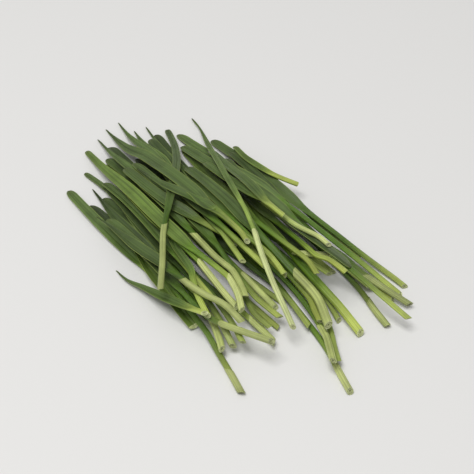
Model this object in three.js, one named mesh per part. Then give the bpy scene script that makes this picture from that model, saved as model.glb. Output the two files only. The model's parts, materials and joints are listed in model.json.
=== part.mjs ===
// A handful of cut wheatgrass lying on a flat surface, in millimetres, +Z up.
// Every shoot is one closed solid: a cut stem, in some with a pale outer sheath round its foot, and one or
// two blades. The shoots are laid one after another, the lowest first, and each settles on what lies there.
import * as THREE from "three";

// Sizes of a shoot
const STEM_WIDTH = 2.4; // across the oval stem
const STEM_HEIGHT = 0.8; // the stem's height, as a share of its width
const LEAF_WIDTH = 5.4; // across the widest part of a blade
const LEAF_THICKNESS = 0.75; // in the middle of a blade
const TIP_THICKNESS = 0.6; // at the last ring before the tip
const CHANNEL = 0.11; // how far a blade's edges rise, as a share of its width
const SHOULDER = 0.28; // half the flat part of a section, as a share of its width
const STEM_LENGTH = 40; // from the cut end to where the blade starts to open
const OPENING = 18; // length over which the rolled stem opens into a blade
const SIDE_OPENING = 2; // how much of that a side blade has behind it at the fork
const SHEATH_SWELL = 1.16; // the outer sheath's width, as a share of the stem inside it
const MOUTH_STEP = 0.7; // length of the step at the outer sheath's mouth
const END_LENGTH = 48; // length over which a round-tipped blade narrows
const END_SHARE = 0.8; // its width where the round tip starts, as a share of its widest part
const BLUNT_TIP = 1.4; // length of a rounded tip, as a share of the blade's width there
const SHARP_TIP = 30; // length over which a pointed blade narrows
const SHARP_SHARE = 0.6; // and the most of the blade that this takes up
const SHARP_END = 6; // length of its last, finest stretch
const TIP_WIDTH = 0.9; // across the finest point
const TIP_RINGS = [0.6, 0.2]; // where the last two rings lie, as shares of the tip's length
const TIP_THINNING = 12; // length before the tip over which a blade gets thinner
const LEAN = 12; // the most that a blade leans to one side, in degrees
const SEED = 7;
const CROTCH = 2; // how far ahead of the last common ring two blades part
const RING_SPACING = 10; // the longest stretch between two rings
const MOUTH_ROOM = 2; // the least distance from a mouth to another ring
const ROUTE_PARTS = 40; // pieces in which each stretch of a route is measured
const SIDES = 6; // points round a ring
const FORK_SIDES = 8; // points round a ring of a stem that forks, which its two blades share

// Sizes of the heap
const CLEARANCE = 0.3; // air between two shoots that touch
const CELL = 0.4; // side of a cell in the map of the heap's height
const MAP_HALF_X = 120;
const MAP_HALF_Y = 80;
const SAMPLE = 0.35; // distance between two samples on a shoot's skin
const SAG = 0.03; // weight against stiffness of a stem: the bend that one ring's own weight gives
const LEAF_SOFTNESS = 3; // how many times softer than a stem a blade is
const STRAIGHTENING = 0.5; // share of a stem's bend that one pass takes out
const STRAIGHTENING_PASSES = 6; // passes in a round
const SETTLING_ROUNDS = 1600;
const LIFTING_ROUNDS = 400; // at most, to clear what is left once a shoot has settled
const HOLD_PARTS = 1000; // fineness with which a place between two rings is told from the next
const TOUCH = 0.0001; // an overlap that no longer counts
const GROUND = 0.02; // a ring this close to the surface lies on it
const TRIAL_ROUNDS = 800; // rounds for a first look at each place that a shoot could slide to
const SLIDE_STEP = 0.4; // step between two places that a shoot tries as it slides sideways
const SLIDE_LIMIT = 0.4; // the furthest that a shoot slides sideways
const SLIDE_EFFORT = 0.15; // height that a shoot must gain for each millimetre that it slides
const SIGHT = { x: 257, y: -216, z: 336 }; // a viewpoint above the heap's near right corner
const LOOKS = 8; // times that a shoot's place is found anew from its height

// Colours by tone
const TONES = {
  dark: 0x4c6b37,
  green: 0x66883f,
  bright: 0x86a844,
  pale: 0xaabf78,
};
const ROUGHNESS = 0.55;

// The shoots, the lowest first. A route runs from the cut end to the tip, and each of its points is where a
// line of sight from SIGHT through that place of the shoot meets the surface. wide is the stem's width and
// leaf the blade's. stem and sheath are lengths from the cut end, and slant is how far the cut runs across.
// end is the share of a round-tipped blade's width that is left at its tip. A branch is a second blade that
// parts from the first at a point of the route.
const UNDER_SHOOTS = [
  { route: [[46, -25], [12, -27], [-22, -27], [-56, -30]], tone: "dark" },
  { route: [[40, -10], [4, -13], [-34, -13], [-64, -15]], tone: "dark" },
  { route: [[38, 3], [14, 3], [-24, -1], [-68, -3]], leaf: 6.4, tone: "dark" },
  { route: [[41, 17], [26, 16.5], [8, 16.5], [-12, 17], [-44, 21]], stem: 4, leaf: 5.6, tone: "dark" },
  { route: [[48, 25], [18, 26], [-14, 29], [-38, 30]], tip: "sharp", tone: "dark" },
  { route: [[28, -38], [-4, -37], [-30, -36], [-56, -37]], tone: "dark" },
];

const NEAR_RIM = [
  { route: [[12, -40.5], [-20, -40], [-48, -39.5], [-70, -38.5]], stem: 20, leaf: 5.2, tone: "green" },
  {
    route: [[27, -44.5], [15, -43], [2, -41], [-9, -39.5], [-20, -37.5], [-36, -37]],
    stem: -14, leaf: 5.6, tip: "sharp", tone: "bright",
  },
  {
    route: [[64, -51.5], [51.5, -48], [42, -45.5], [33, -43], [20, -41], [-6, -37], [-34, -35]],
    stem: 62, sheath: 12, tone: "bright",
  },
];

const RIGHT_LONG = [
  {
    route: [[89.5, -20], [79.5, -16.5], [70, -13], [60, -10.5], [47.5, -8], [24, -4], [-4, -4], [-38, -6]],
    stem: 66, sheath: 12, tone: "bright",
  },
  {
    route: [[76.5, -13.5], [70.5, -10], [64.5, -6], [55.5, -1.5], [34, 2], [8, 3], [-14, 0], [-34, 0]],
    stem: 52, tone: "dark",
  },
  {
    route: [[75, -14.5], [69.5, -11], [60.5, -6.5], [38, -1], [10, 1], [-34, 4]],
    stem: 56, sheath: 20, tone: "green",
  },
  { route: [[61.5, 0.5], [50, 4.5], [40, 6.5], [14, 7], [-16, 4]], stem: 44, tone: "dark" },
  { route: [[56, -10], [36, -6], [12, -7], [-38, -11]], stem: 46, tone: "dark" },
  { route: [[71, 3], [56, 6], [45, 7.5], [28, 10], [4, 13], [-20, 17]], stem: 46, wide: 3.6, tone: "bright" },
  {
    route: [[76, 14], [67, 16], [56, 19], [48.5, 20.5], [30, 23], [0, 26], [-24, 30]],
    stem: 50, sheath: 15, slant: 0.7, tone: "green",
  },
  { route: [[67, 25.5], [45, 25], [14, 27], [-16, 30], [-34, 32]], stem: 52, tip: "sharp", tone: "bright" },
  { route: [[41, 15], [30, 14], [8, 11], [-10, 8], [-46, 1]], stem: 36, tone: "dark" },
  { route: [[42, 31], [12, 32], [-18, 33.5], [-46, 33]], stem: 34, leaf: 5, tone: "dark" },
  {
    route: [[65.5, 34], [59.5, 34], [44, 33.5], [27, 33.5], [5, 33.5], [-20, 34], [-40, 33], [-56, 31.5]],
    stem: 50, tone: "green",
  },
  {
    route: [[57.5, -4.5], [51.5, -2], [45, 1], [39.5, 2], [30, 3.5], [20, 5], [5, 6], [-12, 6], [-30, 4]],
    stem: 48, wide: 3, tone: "bright",
  },
];

const NEAR_BUNCH = [
  {
    route: [
      [43, -44], [33.5, -39.5], [22.5, -36], [13, -35], [-10, -31],
      [-35, -28], [-49, -25.5], [-63, -25.5], [-75, -27],
    ],
    stem: 44, sheath: 18, leaf: 4.2, end: 0.56, tone: "green",
  },
  {
    route: [[44.5, -40], [35.5, -37], [25, -34], [0, -30], [-30, -27], [-60, -25]],
    stem: 46, sheath: 9, tone: "dark",
  },
  { route: [[47, -37], [38, -34], [20, -30], [-4, -27], [-30, -24], [-50, -23]], stem: 42, tone: "dark" },
  {
    route: [[14, -33], [-12, -33], [-36, -33], [-45, -32.5], [-56, -31], [-64, -30]],
    stem: 20, leaf: 4.8, tip: "sharp", tone: "dark",
  },
  {
    route: [[53, -26.5], [44, -30.5], [35, -34.5], [25, -37], [4, -36], [-20, -35], [-44, -35.5]],
    stem: 44, sheath: 21, tone: "green",
  },
  {
    route: [[53.5, -26], [44, -25.5], [34, -25.5], [18, -24], [-8, -19.5], [-36, -16.5], [-73.5, -16]],
    stem: 50, sheath: 15, tone: "green",
  },
  {
    route: [[49, -20], [38.5, -20], [29.5, -20], [16, -17], [-10, -13], [-40, -12.5], [-76.5, -13.5]],
    stem: 40, tone: "green",
  },
  {
    route: [[47, -23], [38, -23], [24, -18.5], [0, -14.5], [-30, -11.5], [-60, -9], [-82.5, -8]],
    stem: 46, tone: "dark",
  },
  {
    route: [[40, -14], [30, -13.5], [8, -12], [-18, -9.5], [-48, -9.5], [-77, -10], [-90.5, -9]],
    stem: 40, sheath: 19, leaf: 4, tip: "sharp", tone: "green",
  },
  { route: [[45, -16], [31, -16.5], [16, -14], [-8, -9], [-36, -6.5], [-66, -6.5]], stem: 42, tone: "green" },
  { route: [[20, -30], [-4, -27], [-30, -24], [-50, -23], [-64, -24]], stem: 26, leaf: 4.8, tone: "green" },
  {
    route: [[26, -37], [14, -33], [8, -30], [2.5, -27], [-9.5, -24.5], [-24, -20.5], [-42, -19.5]],
    stem: 16, leaf: 3.4, tip: "sharp", tone: "green",
  },
  {
    route: [[37.5, -29], [26, -28.5], [17, -31], [6.5, -32.5], [-10, -34], [-22.5, -36], [-48, -39]],
    stem: 34, sheath: 32, leaf: 5.6, tip: "sharp", tone: "green",
  },
];

const NEAR_MIDDLE = [
  {
    route: [[28.5, -19], [19, -15], [13.5, -13.5], [2, -13.5], [-13.5, -12], [-36, -11], [-54, -11.5]],
    stem: 42, sheath: 43, tone: "green",
  },
  {
    route: [[28.5, -24], [21, -23.5], [13, -22.5], [5.5, -21.5], [-8, -20.5], [-30, -20], [-56, -18.5]],
    stem: 38, sheath: 23, tone: "bright",
  },
  {
    route: [[2.5, -3], [-3.5, -3], [-10.5, -4.5], [-26.5, -7.5], [-34, -9], [-50, -10.5], [-66, -11.5]],
    stem: 14, tone: "green",
  },
  {
    route: [
      [31.5, -23.5], [25, -20], [19, -18], [12.5, -17.5], [-5.5, -18.5], [-14, -18.5],
      [-28, -18], [-50, -16.5], [-74, -17], [-87, -17],
    ],
    stem: 30, sheath: 14, leaf: 5.8, end: 0.5, tone: "bright",
  },
];

const MIDDLE = [
  {
    route: [[16, -1], [6, 2], [-8, 4], [-20, 5.5], [-36, 7], [-50, 9], [-76, 14]],
    stem: 12, leaf: 6, tone: "dark",
  },
  {
    route: [[30, 1], [10, 3], [-10, 6], [-30, 8], [-50, 8.5], [-65.5, 10], [-83.5, 14]],
    stem: 34, leaf: 4, tip: "sharp", tone: "green",
  },
  { route: [[12, -7], [-6, -3], [-24, 1], [-42, 4], [-60, 8], [-75, 10]], stem: 16, leaf: 5.8, tone: "dark" },
  {
    route: [[20, -2], [0, -1], [-25, 0], [-45, 1.5], [-60, 5], [-71, 5.5], [-84.5, 8]],
    stem: 30, leaf: 6, tip: "sharp", tone: "green",
  },
  {
    route: [[28.5, 0.5], [17, 3], [0, 3], [-25, 2], [-50, 2], [-67, 4], [-81, 3.5], [-94.5, 5.5]],
    stem: 36, leaf: 5, tip: "sharp", tone: "green",
  },
  {
    route: [[34.5, 21.5], [27.5, 16], [23, 13], [17, 12.5], [5.5, 11.5], [-7, 12], [-25, 14], [-44, 14]],
    stem: 38, sheath: 14, tone: "bright",
  },
  { route: [[37.5, 11.5], [30, 13.5], [14, 13], [-8, 12], [-30, 14], [-60, 18]], stem: 34, tone: "bright" },
  {
    route: [
      [59, -1.5], [53.5, 1.5], [44, 6], [32, 8], [21, 8.5],
      [10, 9], [-6, 9.5], [-18, 11], [-34, 11.5], [-48, 10.5],
    ],
    stem: 48, sheath: 29, wide: 3.2, leaf: 6, tone: "green",
  },
];

const FAR_SIDE = [
  {
    route: [[46, 19], [36, 18.5], [32, 16.5], [20, 17], [4, 18], [-11, 18.5], [-24, 21], [-36, 24]],
    stem: 42, tone: "bright",
  },
  { route: [[56, 24], [40, 24], [12, 26], [-22, 32], [-44, 33]], stem: 46, tone: "dark" },
  {
    route: [[67.5, 29.5], [47.5, 30], [28, 30], [10, 30], [-10, 29], [-30, 27], [-48, 24.5], [-69.5, 22]],
    stem: 60, leaf: 6, tone: "green",
  },
  {
    route: [[73.5, 28], [60, 26.5], [50, 25.5], [38, 26.5], [28.5, 25.5], [6, 23], [-20, 24], [-42, 27]],
    stem: 56, sheath: 20, tone: "green",
  },
  {
    route: [[78.5, 23], [62, 23.5], [50, 24], [20, 25], [-10, 26], [-40, 22], [-62, 19]],
    stem: 58, leaf: 6, tone: "green",
  },
  { route: [[-10, 22.5], [7, 23], [22, 23.5], [38, 24.2], [44.5, 23.8]], stem: 4, leaf: 5, tone: "green" },
  {
    route: [[29, 26], [22.5, 26], [12, 23.5], [6, 23], [-8, 23.5], [-24, 26]],
    stem: 30, wide: 2.2, leaf: 4, tone: "pale",
  },
];

const ON_TOP = [
  {
    route: [[25, -37], [16, -40.5], [6.5, -44], [-3.5, -47.5], [-10, -50], [-17, -50.5]],
    stem: 2, tip: "sharp", tone: "green",
  },
  {
    route: [
      [3, -43], [-10, -32], [-22, -22.5], [-34.5, -10], [-46.5, 2.5],
      [-54.5, 10], [-64, 16], [-75.5, 20.5],
    ],
    stem: 38, sheath: 36, wide: 2.2, leaf: 3.8, tone: "green",
  },
  {
    route: [
      [5, 1.5], [-1, 3], [-8, 3.5], [-18, 3.5], [-23.5, 2.5], [-32.5, 3.5], [-48, 3],
      [-58, 2], [-68, 1], [-76, -1.5], [-94, -1.5],
    ],
    stem: 16, leaf: 5.8, tip: "sharp", tone: "green",
    branch: { from: 4, route: [[-31.5, 0.5], [-38.5, -1.5], [-46, -4], [-62, -7]], leaf: 4, tip: "sharp" },
  },
  {
    route: [[3.5, 23.5], [-3.5, 23.5], [-8, 23.5], [-17, 24.5], [-26, 25], [-38, 25], [-50, 25.5]],
    stem: 6, leaf: 4.6, tone: "green",
    branch: { from: 2, route: [[-15.5, 22], [-24, 21], [-34, 20], [-46, 19]], leaf: 5 },
  },
  {
    route: [[-7.5, 41], [-18, 37.5], [-29, 35.5], [-37, 35], [-45.5, 35.8]],
    stem: 8, leaf: 4.2, end: 0.6, tone: "bright",
  },
  {
    route: [
      [52, -15], [45, -12], [29.5, -5.5], [12.5, 2.5], [1, 8.5], [-10, 13.5],
      [-20.5, 17], [-33, 21], [-51, 27], [-67, 33], [-74.5, 34.5],
    ],
    stem: 60, sheath: 43, wide: 2, leaf: 2.5, tip: "sharp", tone: "pale",
  },
];

const ALL_ROWS = [
  ...UNDER_SHOOTS,
  ...NEAR_RIM,
  ...RIGHT_LONG,
  ...NEAR_BUNCH,
  ...NEAR_MIDDLE,
  ...MIDDLE,
  ...FAR_SIDE,
  ...ON_TOP,
];

const smooth = THREE.MathUtils.smoothstep;
const mix = THREE.MathUtils.lerp;

// A repeatable draw between -1 and 1, so that each blade leans to one side by its own angle.
THREE.MathUtils.seededRandom(SEED);
const draw = () => 2 * THREE.MathUtils.seededRandom() - 1;
const SHOOTS = ALL_ROWS.map((row) => ({ ...row, roll: THREE.MathUtils.degToRad(LEAN * draw()) }));

const mean = (points, key) => points.reduce((sum, point) => sum + point[key], 0) / points.length;
const pairs = (list) => list.slice(1).map((item, i) => [list[i], item]);
const rests = (rings) => rings.map((ring) => ring.points[0].rest);

// A smooth curve along a route, with the length from its start to each of the route's points.
function measured(route) {
  const points = route.map(([x, y]) => new THREE.Vector3(x, y, 0));
  const curve = new THREE.CatmullRomCurve3(points, false, "centripetal");
  const lengths = curve.getLengths(ROUTE_PARTS * (route.length - 1));
  return { curve, stops: route.map((_, i) => lengths[ROUTE_PARTS * i]) };
}

const bluntLength = (shape) => BLUNT_TIP * shape.leaf * shape.end;

// The length along a route at each ring: at the route's points, between them, at a mouth and near the tip.
function ringLengths(stops, shape) {
  const total = stops[stops.length - 1];
  const tipLength = shape.tip === "sharp" ? SHARP_END : bluntLength(shape);
  const tipRings = TIP_RINGS.map((share) => total - tipLength * share);
  const rings = pairs(stops).flatMap(([start, end]) => {
    const parts = Math.ceil((end - start) / RING_SPACING);
    return Array.from({ length: parts }, (_, i) => mix(start, end, i / parts));
  });
  const mouth = shape.sheath ? [shape.sheath, shape.sheath + MOUTH_STEP] : [];
  const nearMouth = (at) => mouth.some((edge) => Math.abs(at - edge) < MOUTH_ROOM);
  const kept = rings.filter((at) => at < tipRings[0] - MOUTH_ROOM && !nearMouth(at));
  return [...kept, ...mouth, ...tipRings, total].sort((a, b) => a - b);
}

// Width, height, rise of the edges and lean of the section at one length along a shoot.
function sectionAt(at, total, shape) {
  const open = smooth(at, shape.stem, shape.stem + OPENING);
  const toTip = total - at;
  const sharpLength = Math.min(SHARP_TIP, SHARP_SHARE * (total - shape.stem));
  const roundShare = Math.min(1, toTip / bluntLength(shape));
  const narrowing =
    shape.tip === "sharp"
      ? Math.min(1, toTip / sharpLength)
      : Math.sqrt(1 - (1 - roundShare) ** 2) * mix(shape.end, 1, smooth(toTip, 0, END_LENGTH));
  const stem = shape.wide * (shape.sheath && at <= shape.sheath ? SHEATH_SWELL : 1);
  const width = Math.max(mix(stem, shape.leaf * narrowing, open), TIP_WIDTH);
  const thickness = mix(LEAF_THICKNESS, TIP_THICKNESS, smooth(-toTip, -TIP_THINNING, 0));
  const height = mix(stem * STEM_HEIGHT, thickness, open);
  return { width, height, open, rise: open * CHANNEL * width, roll: open * shape.roll };
}

// The outline of a section, from the left edge round underneath: across the shoot, and up from its lowest
// point.
function outline({ width, height, rise, roll }, sides) {
  const flat = sides === FORK_SIDES ? [SHOULDER, 0, -SHOULDER] : [SHOULDER, -SHOULDER];
  const edge = height / 2 + rise;
  const points = [
    [width / 2, edge],
    ...flat.map((share) => [share * width, 0]),
    [-width / 2, edge],
    ...flat.map((share) => [-share * width, height]),
  ];
  const turned = points.map(([across, up]) => [
    across * Math.cos(roll) - (up - height / 2) * Math.sin(roll),
    across * Math.sin(roll) + (up - height / 2) * Math.cos(roll),
  ]);
  const lowest = Math.min(...turned.map(([, up]) => up));
  return turned.map(([across, up]) => [across, up - lowest]);
}

// One length of stem and blade as rings of points. A point keeps its place seen from above, its height over
// the ring's own rest height, and the number of that rest height in the shoot's list.
function bladeRings(route, shape, firstRest, sidesAt) {
  const { curve, stops } = measured(route);
  const total = stops[stops.length - 1];
  return ringLengths(stops, shape).map((at, i) => {
    const centre = curve.getPointAt(at / total);
    const along = curve.getTangentAt(at / total);
    const section = sectionAt(at, total, shape);
    const slant = i === 0 ? shape.slant : 0;
    const points = at === total ? [[0, section.height / 2]] : outline(section, sidesAt(at));
    return {
      at,
      open: section.open,
      points: points.map(([across, up]) => ({
        x: centre.x + (along.x * slant - along.y) * across,
        y: centre.y + (along.y * slant + along.x) * across,
        up,
        rest: firstRest + i,
      })),
    };
  });
}

// All the skin of a shoot: bands between pairs of rings, the ring round its cut end, the chains in which the
// rings bend, the length at each of them, how far each has opened from stiff stem to soft blade, and the rings
// of each route.
function shootStrips(shoot) {
  const usual = { wide: STEM_WIDTH, leaf: LEAF_WIDTH, stem: STEM_LENGTH, sheath: 0, slant: 0 };
  const shape = { ...usual, tip: "blunt", end: END_SHARE, ...shoot };
  if (shoot.branch) return forkedStrips(shoot, shape);
  const rings = bladeRings(shoot.route, shape, 0, () => SIDES);
  return {
    bands: pairs(rings.map((ring) => ring.points)),
    cut: rings[0].points,
    chains: [rests(rings)],
    places: rings.map((ring) => ring.at),
    openness: rings.map((ring) => ring.open),
    lines: [rings],
  };
}

// Up to the fork the rings have eight points, and each blade takes one side of the last of them.
function forkedStrips({ route, branch }, shape) {
  const forkPoint = route[branch.from];
  const forkAt = measured(route).stops[branch.from];
  const inStem = (at) => at < forkAt + TOUCH;
  const main = bladeRings(route, shape, 0, (at) => (inStem(at) ? FORK_SIDES : SIDES));
  const fork = main.filter((ring) => inStem(ring.at)).length - 1;
  const tip = branch.tip ?? "blunt";
  const sideShape = { ...shape, sheath: 0, stem: -SIDE_OPENING, tip, leaf: branch.leaf };
  const side = bladeRings([forkPoint, ...branch.route], sideShape, main.length - 1, () => SIDES).slice(1);
  const forkRing = main[fork].points;
  const ahead = main[fork + 1].points;
  const wayX = mean(ahead, "x") - mean(forkRing, "x");
  const wayY = mean(ahead, "y") - mean(forkRing, "y");
  const reach = CROTCH / Math.hypot(wayX, wayY);
  const crotch = {
    x: mean(forkRing, "x") + wayX * reach,
    y: mean(forkRing, "y") + wayY * reach,
    up: mean(forkRing, "up"),
    rest: fork,
  };
  const [left, lowLeft, low, lowRight, right, highRight, high, highLeft] = forkRing;
  const leftLoop = [left, lowLeft, low, crotch, high, highLeft];
  const rightLoop = [crotch, low, lowRight, right, highRight, high];
  const [sideX, sideY] = branch.route[0];
  const sideIsLeft = wayX * (sideY - forkPoint[1]) > wayY * (sideX - forkPoint[0]);
  const stem = main.slice(0, fork + 1).map((ring) => ring.points);
  const mainBlade = [sideIsLeft ? rightLoop : leftLoop, ...main.slice(fork + 1).map((ring) => ring.points)];
  const sideBlade = [sideIsLeft ? leftLoop : rightLoop, ...side.map((ring) => ring.points)];
  return {
    bands: [...pairs(stem), ...pairs(mainBlade), ...pairs(sideBlade)],
    cut: main[0].points,
    chains: [rests(main), [fork - 1, fork, ...rests(side)]],
    places: [...main.map((ring) => ring.at), ...side.map((ring) => forkAt + ring.at)],
    openness: [...main, ...side].map((ring) => ring.open),
    lines: [main, [{ ...main[fork], at: 0 }, ...side]],
  };
}

// The height of the heap so far, in cells seen from above
const mapColumns = Math.round((2 * MAP_HALF_X) / CELL);
const mapRows = Math.round((2 * MAP_HALF_Y) / CELL);
const heapTop = new Float32Array(mapColumns * mapRows);

function cellOf(x, y) {
  return [Math.floor((x + MAP_HALF_X) / CELL), Math.floor((y + MAP_HALF_Y) / CELL)];
}

// Calls visit for samples all over the skin between two rings.
function sampleBand([near, far], visit) {
  const sides = near.length;
  const other = (k) => far[far.length === 1 ? 0 : k % sides];
  const length = Math.hypot(mean(far, "x") - mean(near, "x"), mean(far, "y") - mean(near, "y"));
  const steps = Math.max(1, Math.ceil(length / SAMPLE));
  for (let k = 0; k < sides; k++) {
    const a = near[k];
    const b = near[(k + 1) % sides];
    const across = Math.max(1, Math.ceil(Math.hypot(a.x - b.x, a.y - b.y, a.up - b.up) / SAMPLE));
    for (let i = 0; i <= steps; i++) {
      for (let j = 0; j < across; j++) {
        const along = i / steps;
        const share = j / across;
        const farA = other(k);
        const farB = other(k + 1);
        const point = (key) => mix(mix(a[key], b[key], share), mix(farA[key], farB[key], share), along);
        visit(point("x"), point("y"), point("up"), along, a.rest, farA.rest);
      }
    }
  }
}

// The height of each ring once the shoot has come down under its weight, against its stiffness, and is held.
function settle({ bands, chains, places, openness }, rounds) {
  const holds = new Map();
  for (const band of bands) {
    sampleBand(band, (x, y, up, along, near, far) => {
      const [column, row] = cellOf(x, y);
      const top = heapTop[row * mapColumns + column];
      const need = top > 0 ? top + CLEARANCE - up : -up;
      const key = near + "/" + far + "/" + Math.round(along * HOLD_PARTS);
      const hold = holds.get(key);
      if (!hold) holds.set(key, { near, far, along, need });
      else hold.need = Math.max(hold.need, need);
    });
  }
  const all = [...holds.values()];
  const heights = openness.map(() => Math.max(0, ...all.map((hold) => hold.need)));
  const bendAt = (before, middle, after) => {
    const share = (places[middle] - places[before]) / (places[after] - places[before]);
    return { before, middle, after, share };
  };
  const inRow = (chain) => chain.slice(1, -1).map((middle, i) => bendAt(chain[i], middle, chain[i + 2]));
  const bends = chains.flatMap(inRow);
  const lift = (hold) => {
    const low = hold.need - mix(heights[hold.near], heights[hold.far], hold.along);
    if (low <= 0) return false;
    const weight = (1 - hold.along) ** 2 + hold.along ** 2;
    heights[hold.near] += (low * (1 - hold.along)) / weight;
    if (hold.far !== hold.near) heights[hold.far] += (low * hold.along) / weight;
    return low > TOUCH;
  };
  const straighten = ({ before, middle, after, share }) => {
    const bend = mix(heights[before], heights[after], share) - heights[middle];
    const move = (STRAIGHTENING * bend) / mix(1, LEAF_SOFTNESS, openness[middle]);
    heights[middle] += move;
    heights[before] -= move * (1 - share);
    heights[after] -= move * share;
  };
  for (let round = 0; round < rounds; round++) {
    heights.forEach((_, i) => (heights[i] -= SAG));
    for (let pass = 0; pass < STRAIGHTENING_PASSES; pass++) bends.forEach(straighten);
    all.forEach(lift);
  }
  for (let round = 0; round < LIFTING_ROUNDS; round++) {
    if (!all.map(lift).some(Boolean)) break;
  }
  return heights.map((height) => (Math.abs(height) < GROUND ? 0 : height));
}

// Adds a settled shoot to the map of the heap's height.
function lay({ bands }, heights) {
  for (const band of bands) {
    sampleBand(band, (x, y, up, along, near, far) => {
      const height = mix(heights[near], heights[far], along) + up;
      const [column, row] = cellOf(x, y);
      for (let i = -1; i <= 1; i++) {
        for (let j = -1; j <= 1; j++) {
          const cell = (row + i) * mapColumns + column + j;
          heapTop[cell] = Math.max(heapTop[cell], height);
        }
      }
    });
  }
}

// A route with each point moved, by a share of the way, to where its line of sight is as high as the shoot
// lies there. seen is the route on the surface, and now is its last place.
function raised(seen, now, rings, heights, change) {
  const { stops } = measured(now);
  return seen.map(([x, y], i) => {
    const off = (ring) => Math.abs(ring.at - stops[i]);
    const nearest = rings.reduce((best, ring) => (off(ring) < off(best) ? ring : best));
    const share = (heights[nearest.points[0].rest] + mean(nearest.points, "up")) / SIGHT.z;
    const [nowX, nowY] = now[i];
    return [mix(nowX, mix(x, SIGHT.x, share), change), mix(nowY, mix(y, SIGHT.y, share), change)];
  });
}

// The route of a side blade, with the point of the main route where it starts.
const withFork = ({ route, branch }) => [route[branch.from], ...branch.route];

// The shoot at its place seen from above. Each look finds how high it comes to lie where it was put last, and
// counts for less than the one before, so that the place comes to rest.
function placed(shoot) {
  let place = shoot;
  for (let look = 1; look <= LOOKS; look++) {
    const strips = shootStrips(place);
    const heights = settle(strips, SETTLING_ROUNDS);
    const [main, side] = strips.lines;
    const moved = (seen, now, rings) => raised(seen, now, rings, heights, 1 / look);
    const route = moved(shoot.route, place.route, main);
    const sideRoute = () => moved(withFork(shoot), withFork(place), side).slice(1);
    const branch = shoot.branch && { ...shoot.branch, route: sideRoute() };
    place = { ...shoot, route, branch };
  }
  return place;
}

// The shoot moved sideways, seen from above.
function slid(shoot, distance) {
  const [startX, startY] = shoot.route[0];
  const [endX, endY] = shoot.route[shoot.route.length - 1];
  const length = Math.hypot(endX - startX, endY - startY);
  const sideX = ((startY - endY) / length) * distance;
  const sideY = ((endX - startX) / length) * distance;
  const move = ([x, y]) => [x + sideX, y + sideY];
  const branch = shoot.branch && { ...shoot.branch, route: shoot.branch.route.map(move) };
  return { ...shoot, route: shoot.route.map(move), branch };
}

// The strips of a shoot at the place where it lies lowest, for the least sliding.
function lowestPlace(shoot) {
  const steps = Math.round(SLIDE_LIMIT / SLIDE_STEP);
  const trials = Array.from({ length: 2 * steps + 1 }, (_, i) => {
    const distance = (i - steps) * SLIDE_STEP;
    const strips = shootStrips(slid(shoot, distance));
    const heights = settle(strips, TRIAL_ROUNDS);
    const height = heights.reduce((sum, value) => sum + value, 0) / heights.length;
    return { strips, cost: height + SLIDE_EFFORT * Math.abs(distance) };
  });
  return trials.reduce((best, trial) => (trial.cost < best.cost ? trial : best)).strips;
}

// The closed skin of a shoot: bands between its rings, a fan over the cut end and a fan at each tip.
function skin({ bands, cut }, heights) {
  const numbers = new Map();
  const positions = [];
  const faces = [];
  const number = (point) => {
    if (!numbers.has(point)) {
      numbers.set(point, positions.length / 3);
      positions.push(point.x, point.y, heights[point.rest] + point.up);
    }
    return numbers.get(point);
  };
  for (const [near, far] of bands) {
    const a = near.map(number);
    const b = far.map(number);
    const sides = a.length;
    for (let k = 0; k < sides; k++) {
      const next = (k + 1) % sides;
      if (b.length === 1) faces.push(a[k], b[0], a[next]);
      else if (k < sides / 2) faces.push(a[k], b[k], b[next], a[k], b[next], a[next]);
      else faces.push(a[k], b[k], a[next], b[k], b[next], a[next]);
    }
  }
  const centre = { x: mean(cut, "x"), y: mean(cut, "y"), up: mean(cut, "up"), rest: cut[0].rest };
  const ring = cut.map(number);
  ring.forEach((corner, k) => faces.push(number(centre), corner, ring[(k + 1) % ring.length]));
  const geometry = new THREE.BufferGeometry();
  geometry.setAttribute("position", new THREE.Float32BufferAttribute(positions, 3));
  geometry.setIndex(faces);
  return geometry;
}

const materials = Object.fromEntries(
  Object.entries(TONES).map(([tone, color]) => [
    tone,
    new THREE.MeshStandardMaterial({ color, roughness: ROUGHNESS, metalness: 0, flatShading: true }),
  ]),
);

const heap = new THREE.Group();
SHOOTS.forEach((shoot, i) => {
  const strips = lowestPlace(placed(shoot));
  const heights = settle(strips, SETTLING_ROUNDS);
  lay(strips, heights);
  const mesh = new THREE.Mesh(skin(strips, heights), materials[shoot.tone]);
  mesh.name = "shoot_" + String(i + 1).padStart(2, "0");
  heap.add(mesh);
});

// The origin is under the middle of the heap, on the surface that it lies on.
const box = new THREE.Box3().setFromObject(heap);
const middle = box.getCenter(new THREE.Vector3());
heap.position.set(-middle.x, -middle.y, 0);

export default heap;
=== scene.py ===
# %% [markdown]
# # A handful of cut wheatgrass
# Young wheat is cut as long thin shoots. Each one has a pale cut foot, a rolled stem and one or two flat
# blades. They lie in a loose heap, stems one way and blades the other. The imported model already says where
# every shoot lies and how wide it is. This lesson reads that back from the model, and grows a finer shoot
# along each one.

import json
import math

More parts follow.
